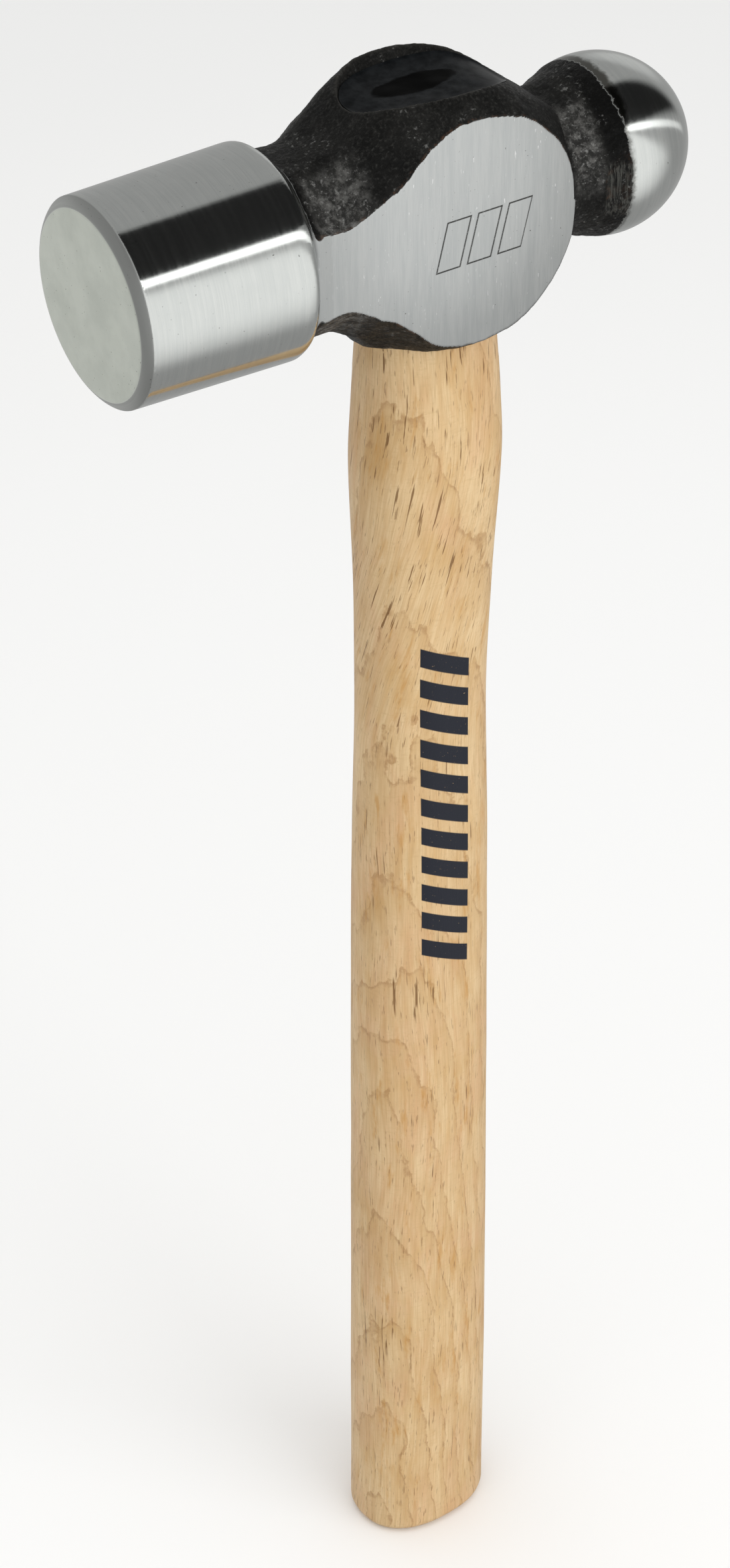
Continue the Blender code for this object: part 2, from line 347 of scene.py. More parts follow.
def write_points(data, points):
    """Move a mesh's points to places in millimetres."""
    data.vertices.foreach_set("co", (points * MM).astype(np.float32).ravel())
    data.update()


def relax(points, edges, share, rounds):
    """Move each point toward the mean of its neighbours, by its own share."""
    ends = np.concatenate([edges, edges[:, ::-1]])
    neighbours = np.bincount(ends[:, 0], minlength=len(points))[:, None]
    for _ in range(rounds):
        sums = [np.bincount(ends[:, 0], points[ends[:, 1], k], len(points)) for k in range(3)]
        points = points + share[:, None] * (np.stack(sums, axis=1) / neighbours - points)
    return points


def rough(points, height, size, octaves):
    """Smooth noise of about -height to height, whose largest lumps are size across."""
    lumps = [noise.fractal(Vector(p / size), 0.9, 2.0, octaves) for p in points]
    return height * np.array(lumps)


# ---------------------------------------------------------------- the head


def head_grid():
    """The forging as a grid of rings, with neither its ground cheeks nor its eye."""
    bevel_end = FACE_X + FACE_BEVEL_LENGTH
    bevel_turn = np.linspace(0, math.pi / 2, BEVEL_RINGS)
    bevel = FACE_X + FACE_BEVEL_LENGTH * (1 - np.cos(bevel_turn))
    poll = np.linspace(bevel_end, SHOULDER_START_X, POLL_RINGS)[1:]
    body = np.linspace(SHOULDER_START_X, BALL_X, BODY_RINGS)[1:]
    nose_turn = np.linspace(0, math.radians(NOSE_LAST_DEGREES), NOSE_RINGS)[1:]
    nose = BALL_X + BALL_NOSE_LENGTH * np.sin(nose_turn)
    angle = np.linspace(0, 2 * math.pi, HEAD_POINTS_ROUND, endpoint=False)
    rings = []
    for x in np.concatenate([bevel, poll, body, nose]):
        radius = head_radius(np.full_like(angle, x), angle)
        height = HEAD_HEIGHT + body_centre(x) + radius * np.sin(angle)
        rings.append(np.stack([np.full_like(angle, x), radius * np.cos(angle), height], axis=1))
    return rings


def eye_cutter():
    """The eye's hollow, which reaches past the head's top and bottom."""
    rings = []
    for height in np.linspace(EYE_STATIONS[0][0], EYE_STATIONS[-1][0], EYE_RINGS):
        half_length, half_width = along(EYE_STATIONS, height)
        rings.append(oval(half_length, half_width, HEAD_HEIGHT + height, EYE_POINTS_ROUND))
    return loft("eye_cutter", rings)


def eye_clearance(points):
    """About how far each point of the head stands outside the eye's wall."""
    half_length, half_width = along(EYE_STATIONS, points[:, 2])
    ratio = np.abs(points[:, 0] / half_length) ** OVAL_SHARPNESS
    ratio += np.abs(points[:, 1] / half_width) ** OVAL_SHARPNESS
    return (ratio ** (1 / OVAL_SHARPNESS) - 1) * half_width


def around_axis(points, x):
    """Each point's height above the head's axis at x, distance from it and angle about it."""
    height = points[:, 2] - body_centre(x)
    return height, np.hypot(points[:, 1], height), np.arctan2(height, points[:, 1])


def finish_head(head):
    """Put the remeshed skin on its true surface, roughen the forging and grind the cheeks."""
    data = head.data
    points = read_points(data) - (0, 0, HEAD_HEIGHT)
    edges = np.empty(len(data.edges) * 2, dtype=np.int32)
    data.edges.foreach_get("vertices", edges)
    edges = edges.reshape(-1, 2)

    # Every point is judged by the x it has here, before anything is rounded.
    x = points[:, 0]
    clearance = eye_clearance(points)
    height, radius, angle = around_axis(points, x)
    depth = head_radius(x, angle) - radius
    in_eye = clearance < depth
    near_rim = 1 - smooth_step(clearance, RIM_REACH, RIM_FADE_END)
    near_rim *= 1 - smooth_step(depth, RIM_REACH, RIM_FADE_END)
    points = relax(points, edges, 0.5 * near_rim, RIM_ROUNDS)

    # Only the forging between the polished ends is bumpy.
    forged = smooth_step(x, POLL_POLISH_END_X - 0.6, POLL_POLISH_END_X + 0.6)
    forged *= 1 - smooth_step(x, BALL_POLISH_START_X - 1.0, BALL_POLISH_START_X + 0.4)
    bumps = forged * (rough(points, *BROAD_BUMPS) + rough(points + 50, *FINE_BUMPS))

    # The outer skin, except near the eye's rim, which keeps the rounding just given to it.
    height, radius, angle = around_axis(points, x)
    target = head_radius(x, angle) + bumps
    nose = x > BALL_X + BALL_NOSE_LENGTH * 0.5
    from_ball = np.hypot((x - BALL_X) / BALL_NOSE_LENGTH, radius / BALL_RADIUS)
    face = (x < FACE_X + 0.5) & (radius < FACE_FLAT_RADIUS - 0.25)
    ground = (x > GROUND_START_X) & (x < GROUND_END_X)
    plane = CHEEK_HALF_WIDTH / np.maximum(np.abs(np.cos(angle)), TINY)
    target = np.where(ground, np.minimum(target, plane), target)
    keep = np.where(in_eye | face | nose, 0.0, 1 - near_rim)
    scale = 1 + keep * (target / np.maximum(radius, TINY) - 1)
    points[:, 1] *= scale
    points[:, 2] = body_centre(x) + height * scale

    # The nose is pulled onto the ball along its own radius, and the face made flat.
    pull = np.where(nose, 1 / from_ball, 1.0)
    points[:, 0] = BALL_X + (points[:, 0] - BALL_X) * pull
    points[:, 1] *= pull
    points[:, 2] *= pull
    points[face, 0] = FACE_X

    # The step from the poll down to the body is rounded, and less so over its top.
    shoulder = smooth_step(x, SHOULDER_START_X - 2.0, SHOULDER_START_X - 0.8)
    shoulder *= 1 - smooth_step(x, SHOULDER_END_X - 0.4, SHOULDER_END_X + 1.2)
    shoulder *= 0.2 + 0.8 * smooth_step(np.abs(points[:, 1]), 11.0, 16.0)
    points = relax(points, edges, 0.5 * shoulder, SHOULDER_ROUNDS)

    # The eye's rim gets its bumps last, along its own normals.
    write_points(data, points)
    normals = np.empty(len(data.vertices) * 3)
    data.vertex_normals.foreach_get("vector", normals)
    rim_share = (near_rim * np.where(in_eye, 0.5, 1.0) * bumps)[:, None]
    points = points + normals.reshape(-1, 3) * rim_share
    points[:, 2] += HEAD_HEIGHT
    write_points(data, points)


def build_head(materials):
    """The forging; its face and its middle take the second of the three materials."""
    head = loft("forged_head", head_grid())
    cut(head, [eye_cutter()])
    remesh = head.modifiers.new("remesh", "REMESH")
    remesh.mode = "VOXEL"
    remesh.voxel_size = VOXEL * MM
    take_modifiers(head)
    finish_head(head)
    centres = np.empty(len(head.data.polygons) * 3)
    head.data.polygons.foreach_get("center", centres)
    centres = centres.reshape(-1, 3)[:, 0] / MM
    zone = np.searchsorted(MATERIAL_JOINS_X, centres)
    zone[centres < FACE_X + 0.3] = 1
    head.data.materials.clear()
    for material in materials:
        head.data.materials.append(material)
    head.data.polygons.foreach_set("material_index", zone.astype(np.int32))
    head.data.shade_smooth()
    return head


# ---------------------------------------------------------------- handle and resin


def wedge_cutter(node):
    """A CAD wedge grown by the fit, and raised through the tenon's top."""
    welded = bmesh.new()
    welded.from_mesh(frame["nodes"][node].data)
    bmesh.ops.remove_doubles(welded, verts=welded.verts, dist=0.01 * MM)
    data = bpy.data.meshes.new(node + "_slot")
    welded.to_mesh(data)
    welded.free()
    points = read_points(data)
    middle = (points.max(axis=0) + points.min(axis=0)) / 2
    half = (points.max(axis=0) - points.min(axis=0)) / 2
    points = middle + (points - middle) * (1 + FIT_GAP / half)
    points[points[:, 2] > middle[2], 2] += SLOT_RISE
    write_points(data, points)
    return link(bpy.data.objects.new(node + "_slot", data))


def build_handle(material):
    """The shaft with its rounded butt edge, the tenon in the eye and the slots for the wedges."""
    count = HANDLE_POINTS_ROUND
    butt_length = HANDLE_STATIONS[0][1] - BUTT_EDGE_RADIUS
    butt_width = HANDLE_STATIONS[0][2] - BUTT_EDGE_RADIUS
    shares = (0.25, 0.5, 0.75, 0.9)
    rings = [oval(share * butt_length, share * butt_width, 0.0, count) for share in shares]
    for angle in np.linspace(0, math.pi / 2, BUTT_RINGS):
        inset = BUTT_EDGE_RADIUS * (1 - math.sin(angle))
        height = BUTT_EDGE_RADIUS * (1 - math.cos(angle))
        half_length, half_width, forward = along(HANDLE_STATIONS, height)
        rings.append(oval(half_length - inset, half_width - inset, height, count, forward))
    for height in np.linspace(BUTT_EDGE_RADIUS, HANDLE_STATIONS[-1][0], SHAFT_RINGS)[1:]:
        half_length, half_width, forward = along(HANDLE_STATIONS, height)
        rings.append(oval(half_length, half_width, height, count, forward))
    for height in np.linspace(TENON_BOTTOM, TENON_TOP, TENON_RINGS):
        half_length, half_width = along(EYE_STATIONS, height)
        size = (half_length - FIT_GAP, half_width - FIT_GAP)
        rings.append(oval(*size, HEAD_HEIGHT + height, count))
    handle = loft("wood_handle", rings)

    # The shaft is faintly uneven; the butt's face and the end inside the head stay true.
    points = read_points(handle.data)
    shaft = (points[:, 2] > 1) & (points[:, 2] < HANDLE_STATIONS[-1][0] - 8)
    shaved = np.where(shaft, rough(points * (1, 1, 0.25), *SHAVING_MARKS), 0.0)
    outward = points * (1, 1, 0)
    outward /= np.maximum(np.linalg.norm(outward, axis=1), TINY)[:, None]
    write_points(handle.data, points + outward * shaved[:, None])

    cut(handle, [wedge_cutter(node) for node in ("wooden_wedge", *STEEL_WEDGES)])
    handle.data.materials.clear()
    handle.data.materials.append(material)
    handle.data.shade_smooth()
    handle.data.set_sharp_from_angle(angle=math.radians(HANDLE_SHARP_DEGREES))
    return handle


def resin_level(x):
    """Top of the fill: level over the middle, and just below the steel at the eye's ends."""
    below_steel = along(BODY_STATIONS, x)[0] + body_centre(x) - RESIN_RECESS
    return (below_steel**-RESIN_BLEND + RESIN_TOP**-RESIN_BLEND) ** (-1 / RESIN_BLEND)


def build_resin(material):
    """The fill follows the eye's flared wall, climbs it a little and sags in the middle."""
    count = RESIN_POINTS_ROUND
    bottom = TENON_TOP + FIT_GAP
    height = np.full(count, RESIN_TOP)
    for _ in range(5):
        half_length, half_width = along(EYE_STATIONS, height)
        rim = oval(half_length, half_width, 0.0, count)
        height = resin_level(rim[:, 0])
    half_length, half_width = along(EYE_STATIONS, bottom)
    rings = [oval(half_length - FIT_GAP, half_width - FIT_GAP, HEAD_HEIGHT + bottom, count)]
    for share in np.concatenate([np.linspace(1, 0.8, 14), np.linspace(0.8, 0.02, 36)[1:]]):
        ring = rim * (share, share, 0)
        to_wall = (1 - share) * RESIN_HALF_WIDTH
        climb = RESIN_CLIMB * math.exp(-to_wall / RESIN_CLIMB_REACH) - RESIN_SAG * (1 - share**2)
        waves = rough(ring, *RESIN_WAVES) * (1 - share**6)
        ring[:, 2] = HEAD_HEIGHT + resin_level(ring[:, 0]) + climb + waves
        rings.append(ring)
    resin = loft("resin_fill", rings)
    resin.data.materials.append(material)
    resin.data.shade_smooth()
    resin.data.set_sharp_from_angle(angle=math.radians(RESIN_SHARP_DEGREES))
    return resin


# ---------------------------------------------------------------- materials


class Graph:
    """Adds nodes to one node tree; a value is a number, a colour or another node's socket."""

    def __init__(self, tree):
        self.tree = tree

    def node(self, kind, inputs=(), **settings):
        """A shader node with its settings made and its inputs linked or set."""
        made = self.tree.nodes.new("ShaderNode" + kind)
        for name, value in settings.items():
            setattr(made, name, value)
        for key, value in dict(inputs).items():
            if isinstance(value, bpy.types.NodeSocket):
                self.tree.links.new(value, made.inputs[key])
            else:
                made.inputs[key].default_value = value
        return made

    def math(self, operation, a, b=0.0, c=0.0):
        """One sum on up to three numbers."""
        return self.node("Math", {0: a, 1: b, 2: c}, operation=operation).outputs[0]

    def add(self, first, *others):
        """Sum of two or more numbers."""
        return reduce(lambda a, b: self.math("ADD", a, b), others, first)

    def times(self, first, *others):
        """Product of two or more numbers."""
        return reduce(lambda a, b: self.math("MULTIPLY", a, b), others, first)

    def most(self, first, *others):
        """Largest of two or more numbers."""
        return reduce(lambda a, b: self.math("MAXIMUM", a, b), others, first)

    def vector(self, operation, a, b):
        """One sum on two vectors."""
        return self.node("VectorMath", {0: a, 1: b}, operation=operation).outputs[0]

    def noise(self, place, size, detail=3.0, roughness=0.5, stretch=(1, 1, 1), twist=0.0):
        """Noise whose lumps are about size long where stretch is 1, and longer where it's more."""
        place = self.vector("MULTIPLY", place, tuple(1 / s for s in stretch))
        inputs = {"Vector": place, "Scale": 1 / size, "Detail": detail, "Roughness": roughness,
                  "Distortion": twist}
        return self.node("TexNoise", inputs).outputs["Fac"]

    def step(self, value, low, high, to_low=0.0, to_high=1.0):
        """A smooth change from one level at low to another at high."""
        inputs = {"Value": value, "From Min": low, "From Max": high, "To Min": to_low,
                  "To Max": to_high}
        made = self.node("MapRange", inputs, interpolation_type="SMOOTHSTEP")
        return made.outputs["Result"]

    def window(self, value, start, full, fading, end):
        """1 from full to fading, and 0 before start and past end."""
        return self.times(self.step(value, start, full), self.step(value, end, fading))

    def mix(self, share, a, b):
        """Colour a, changed toward b by share."""
        made = self.node("Mix", {0: share}, data_type="RGBA")
        for socket, value in ((made.inputs[6], a), (made.inputs[7], b)):
            if isinstance(value, bpy.types.NodeSocket):
                self.tree.links.new(value, socket)
            else:
                socket.default_value = (*value, 1.0)
        return made.outputs[2]

    def blend(self, share, a, b):
        """Number a, changed toward b by share."""
        return self.node("Mix", {0: share, 2: a, 3: b}, data_type="FLOAT").outputs[0]

    def bump(self, height, distance, below=None):
        """Normal of a height, where a height of 1 rises by distance in millimetres."""
        inputs = {"Height": height, "Distance": distance * MM, "Strength": 1.0}
        if below is not None:
            inputs["Normal"] = below
        return self.node("Bump", inputs).outputs["Normal"]

    def millimetres(self, origin=(0, 0, 0)):
        """The piece's own coordinates in millimetres from an origin, and their three parts."""
        place = self.node("TexCoord").outputs["Object"]
        place = self.vector("MULTIPLY", place, (1 / MM,) * 3)
        place = self.vector("SUBTRACT", place, origin)
        parts = self.node("SeparateXYZ", {0: place})
        return place, parts.outputs[0], parts.outputs[1], parts.outputs[2]


def new_material(name):
    """A material, a graph that adds nodes to it, and its shader."""
    material = bpy.data.materials.new(name)
    material.use_nodes = True
    shader = material.node_tree.nodes["Principled BSDF"]
    return material, Graph(material.node_tree), shader


def attach(graph, shader, **sockets):
    """Link values to the shader's sockets of the same names."""
    for name, value in sockets.items():
        graph.tree.links.new(value, shader.inputs[name.replace("_", " ")])


def slanted_bars(g, across, up, low, high, left, right, pitch, share, lean):
    """1 inside a column of slanted bars that fills a rectangle, with soft edges."""
    soft = 0.15
    soft_share = 0.02
    slid = g.math("MULTIPLY_ADD", across, lean, up)
    phase = g.math("FRACT", g.math("DIVIDE", slid, pitch))
    off_middle = g.math("ABSOLUTE", g.math("SUBTRACT", phase, 0.5))
    bar = g.step(off_middle, share / 2 + soft_share, share / 2 - soft_share)
    inside = g.window(across, left, left + soft, right - soft, right)
    span = g.window(slid, low, low + soft, high - soft, high)
    return g.times(bar, inside, span)


def head_zones(g, place, x, y, z):
    """Where each finish of the head is, from 0 to 1. The polished ends have ragged borders."""
    ragged = g.math("SUBTRACT", g.noise(place, 1.3, 5, 0.65), 0.5)
    poll_x = g.math("MULTIPLY_ADD", ragged, 1.4, x)
    ball_x = g.math("MULTIPLY_ADD", ragged, 2.0, x)
    poll = g.step(poll_x, POLL_POLISH_END_X + 0.2, POLL_POLISH_END_X - 0.2)
    ball = g.step(ball_x, BALL_POLISH_START_X - 0.2, BALL_POLISH_START_X + 0.2)
    flat = g.step(g.math("ABSOLUTE", y), CHEEK_HALF_WIDTH - 0.03, CHEEK_HALF_WIDTH - 0.012)
    reach = g.window(x, GROUND_START_X - 0.6, GROUND_START_X, GROUND_END_X, GROUND_END_X + 0.8)
    ground = g.times(flat, reach)
    face = g.step(x, FACE_X + 0.12, FACE_X + 0.04)
    bevel_end = FACE_X + FACE_BEVEL_LENGTH
    bevel = g.math("SUBTRACT", g.step(x, bevel_end, bevel_end - 0.15), face)

    # The ball is burnt dark at its border, and further on over its top.
    burnt_end = g.step(z, 9.0, 14.0, BALL_POLISH_START_X + 1.0, BALL_POLISH_START_X + 2.4)
    burnt = g.step(g.math("SUBTRACT", burnt_end, ball_x), 0.0, 1.3, 0.0, 0.88)
    return SimpleNamespace(bright=g.most(poll, ball, ground), ground=ground, face=face,
                           bevel=bevel, burnt=g.times(burnt, ball))


def forging_scale(g, place, x, y, z):
    """Forging scale, grainy and lighter on its bumps, partly rubbed and partly painted highlight,
    with painted sheen, painted shade in its hollows and painted glints; its colour, grain, and
    where it is bare steel or a painted glint.
    """
    side = g.math("ABSOLUTE", y)
    grain = g.noise(place, 0.6, 6, 0.65)
    patches = g.noise(place, 7.0, 4, 0.6)
    colour = g.mix(g.step(patches, 0.36, 0.66), (0.002, 0.002, 0.0017), (0.008, 0.0078, 0.007))
    colour = g.mix(g.step(grain, 0.5, 0.74, 0, 0.8), colour, (0.026, 0.0255, 0.0235))
    # Painted sheen: the scale is painted lighter toward its top.
    top_painted_sheen = g.mix(g.step(grain, 0.4, 0.7), (0.005, 0.005, 0.0045), (0.032, 0.031, 0.028))
    colour = g.mix(g.step(z, 14.0, 28.0, 0.0, 0.2), colour, top_painted_sheen)
    # The bumps and rims are painted lighter: part wear, part painted highlight.
    proud_wear_and_highlight = g.step(g.node("NewGeometry").outputs["Pointiness"], 0.5, 0.545, 0.0, 0.35)
    colour = g.mix(proud_wear_and_highlight, colour, (0.05, 0.047, 0.042))

    # Brown rust along the edge of the ground cheeks, and in spots elsewhere.
    near_flat = g.step(side, CHEEK_HALF_WIDTH - 0.4, CHEEK_HALF_WIDTH - 0.05)
    rust = g.times(near_flat, g.step(g.noise(place, 2.2, 4, 0.7), 0.46, 0.66))
    rust = g.most(rust, g.step(g.noise(place, 3.1, 6, 0.75), 0.7, 0.8, 0, 0.4))
    colour = g.mix(rust, colour, (0.07, 0.034, 0.018))

    # Painted shade: the hollows beside the poll and the ball are painted black.
    poll_hollow_painted_shade = g.step(x, POLL_POLISH_END_X + 2.2, POLL_POLISH_END_X, 0.0, 0.7)
    hollows_painted_shade = g.most(g.step(x, 30.6, 32.2, 0.0, 0.85), poll_hollow_painted_shade)
    colour = g.mix(hollows_painted_shade, colour, (0.0005, 0.0005, 0.0004))

    # Painted sheen: the sides of the neck, and of the body behind the poll, are painted lighter in
    # speckles.
    on_neck = g.times(g.step(side, 4.0, 8.0), g.step(z, -3.0, 4.0))
    on_neck = g.times(on_neck, g.window(x, 24.0, 25.5, 29.5, 31.5))
    on_body = g.times(g.step(side, 6.0, 10.0), g.window(x, -33.0, -30.5, -25.0, -19.0))
    painted_sheen_zone = g.most(on_neck, on_body)
    painted_sheen_speckle = g.step(g.noise(place, 1.9, 6, 0.72), 0.42, 0.68, 0.1, 0.9)
    colour = g.mix(g.times(painted_sheen_zone, painted_sheen_speckle), colour, (0.12, 0.118, 0.112))
    # Painted glints: small bright specks, in patches and over the painted sheen.
    painted_glints = g.step(g.noise(place, 0.8, 5, 0.7), 0.56, 0.68, 0, 0.75)
    painted_glints = g.times(painted_glints, g.most(g.step(patches, 0.5, 0.64, 0, 0.8), painted_sheen_zone))
    colour = g.mix(painted_glints, colour, (0.3, 0.3, 0.29))

    # Upright scratches on the near side, where the neck meets the ball.
    scratched = g.times(g.step(x, 30.5, 31.5), g.step(y, -6.0, -8.5))
    scratched = g.times(scratched, g.window(z, -8.0, -5.0, 3.0, 5.0))
    scratches = g.step(g.noise(place, 0.28, 3, 0.6, stretch=(1, 1, 40)), 0.4, 0.68, 0, 0.8)
    scratches = g.times(scratched, scratches)
    colour = g.mix(scratches, colour, (0.11, 0.11, 0.1))
    return colour, grain, g.most(painted_glints, scratches)


def bright_steel(g, place, zones):
    """Streaks run round the poll and ball, and up and down the ground cheeks; the face and its
    bevel carry painted reflection and the cheeks painted shade.
    """
    turned = g.noise(place, 0.1, 3, 0.6, stretch=(1, 90, 90))
    turned = g.add(turned, g.noise(place, 0.9, 3, 0.6, stretch=(1, 22, 22)))
    brushed = g.noise(place, 0.14, 4, 0.65, stretch=(1, 1, 40))
    brushed = g.add(brushed, g.noise(place, 1.0, 4, 0.6, stretch=(1, 1, 14)))
    streak = g.blend(zones.ground, turned, brushed)
    cloud = g.noise(place, 6.0, 4, 0.6)
    colour = g.mix(g.step(streak, 0.7, 1.3), (0.58, 0.6, 0.59), (0.65, 0.665, 0.65))
    colour = g.mix(g.step(cloud, 0.35, 0.7, 0, 0.35), colour, (0.55, 0.57, 0.56))
    rubbed = g.mix(g.step(brushed, 0.75, 1.25), (0.57, 0.59, 0.59), (0.68, 0.695, 0.69))
    colour = g.mix(zones.ground, colour, rubbed)

    nicks = g.step(g.noise(place, 0.34, 2, 0.5, stretch=(1, 1, 5)), 0.69, 0.73)
    nicks = g.times(nicks, g.step(g.noise(place, 8.0, 3, 0.6), 0.45, 0.6), zones.ground)
    colour = g.mix(nicks, colour, (0.95, 0.95, 0.95))
    # Painted reflection: the bevel is painted darker, and the face lighter.
    colour = g.mix(zones.bevel, colour, (0.43, 0.44, 0.43))
    face_painted_reflection = g.mix(g.step(cloud, 0.35, 0.65), (0.66, 0.69, 0.63), (0.61, 0.64, 0.585))
    colour = g.mix(zones.face, colour, face_painted_reflection)

    # Painted shade: the cheeks are painted darker away from a place above their middle.
    away = g.node("VectorMath", {0: place, 1: (-3.0, 0.0, 7.0)}, operation="DISTANCE")
    shade = g.times(zones.ground, g.step(away.outputs["Value"], 19.0, 33.0, 0.12, 0.27))
    colour = g.mix(shade, colour, (0.0, 0.0, 0.0))
    pits = g.step(g.noise(place, 0.5, 2, 0.5), 0.735, 0.76, 0, 0.8)
    colour = g.mix(pits, colour, (0.1, 0.095, 0.085))
    colour = g.mix(zones.burnt, colour, (0.05, 0.046, 0.036))
    return colour, streak


def cheek_mark(g, place, x, y, z):
    """Three etched outlines of slanted bars on the near cheek, a little worn."""
    row = {"low": -7.5, "high": 12.9, "pitch": 6.8, "lean": -0.25}
    outer = slanted_bars(g, z, x, left=-6.5, right=3.5, share=0.80, **row)
    inner = slanted_bars(g, z, x, left=-6.2, right=3.2, share=0.71, **row)
    outline = g.math("SUBTRACT", outer, inner)
    near_cheek = g.step(y, -CHEEK_HALF_WIDTH + 0.1, -CHEEK_HALF_WIDTH)
    wear = g.step(g.noise(place, 0.35, 3, 0.6), 0.3, 0.45, 0.45, 1.0)
    return g.times(outline, near_cheek, wear)


def head_material(name, anisotropic):
    """Turned and polished ends, ground cheeks and dark forging scale."""
    material, g, shader = new_material(name)
    place, x, y, z = g.millimetres((0, 0, HEAD_HEIGHT))
    zones = head_zones(g, place, x, y, z)
    scale, grain, bare_steel_and_glints = forging_scale(g, place, x, y, z)
    steel, streak = bright_steel(g, place, zones)
    etched = cheek_mark(g, place, x, y, z)
    steel = g.mix(etched, steel, (0.075, 0.075, 0.072))
    colour = g.mix(zones.bright, scale, steel)
    # Bare steel and the painted glints are metallic.
    metal = g.blend(zones.bright, bare_steel_and_glints, 1.0)

    polished = g.step(streak, 0.6, 1.4, 0.11, 0.16)
    satin = g.step(streak, 0.6, 1.4, 0.34, 0.46)
    gloss = g.blend(g.most(zones.ground, zones.face, zones.bevel), polished, satin)
    dull = g.step(grain, 0.35, 0.75, 0.55, 0.34)
    roughness = g.blend(zones.bright, dull, gloss)
    roughness = g.blend(etched, roughness, 0.6)

    # Relief: pitted scale, and faint streaks and waves in the bright steel, whose cheeks are
    # very slightly crowned.
    pitted = g.bump(g.noise(place, 2.0, 5, 0.65), 0.5)
    pitted = g.bump(grain, 0.2, pitted)
    worn = g.bump(streak, 0.0008)
    worn = g.bump(g.noise(place, 11.0, 2, 0.5), 0.03, worn)
    crown = g.times(g.add(g.times(x, x), g.times(z, z)), zones.ground, -0.0021)
    worn = g.bump(crown, 1.0, worn)
    inputs = {0: zones.bright, 4: pitted, 5: worn}
    normal = g.node("Mix", inputs, data_type="VECTOR").outputs[1]
    attach(g, shader, Base_Color=colour, Roughness=roughness, Normal=normal, Metallic=metal)
    shader.inputs["Specular IOR Level"].default_value = 0.16
    if anisotropic:
        shader.inputs["Anisotropic"].default_value = anisotropic
        shader.inputs["Anisotropic Rotation"].default_value = 0.25
        tangent = g.node("Tangent", direction_type="RADIAL", axis="X")
        g.tree.links.new(tangent.outputs[0], shader.inputs["Tangent"])
    return material


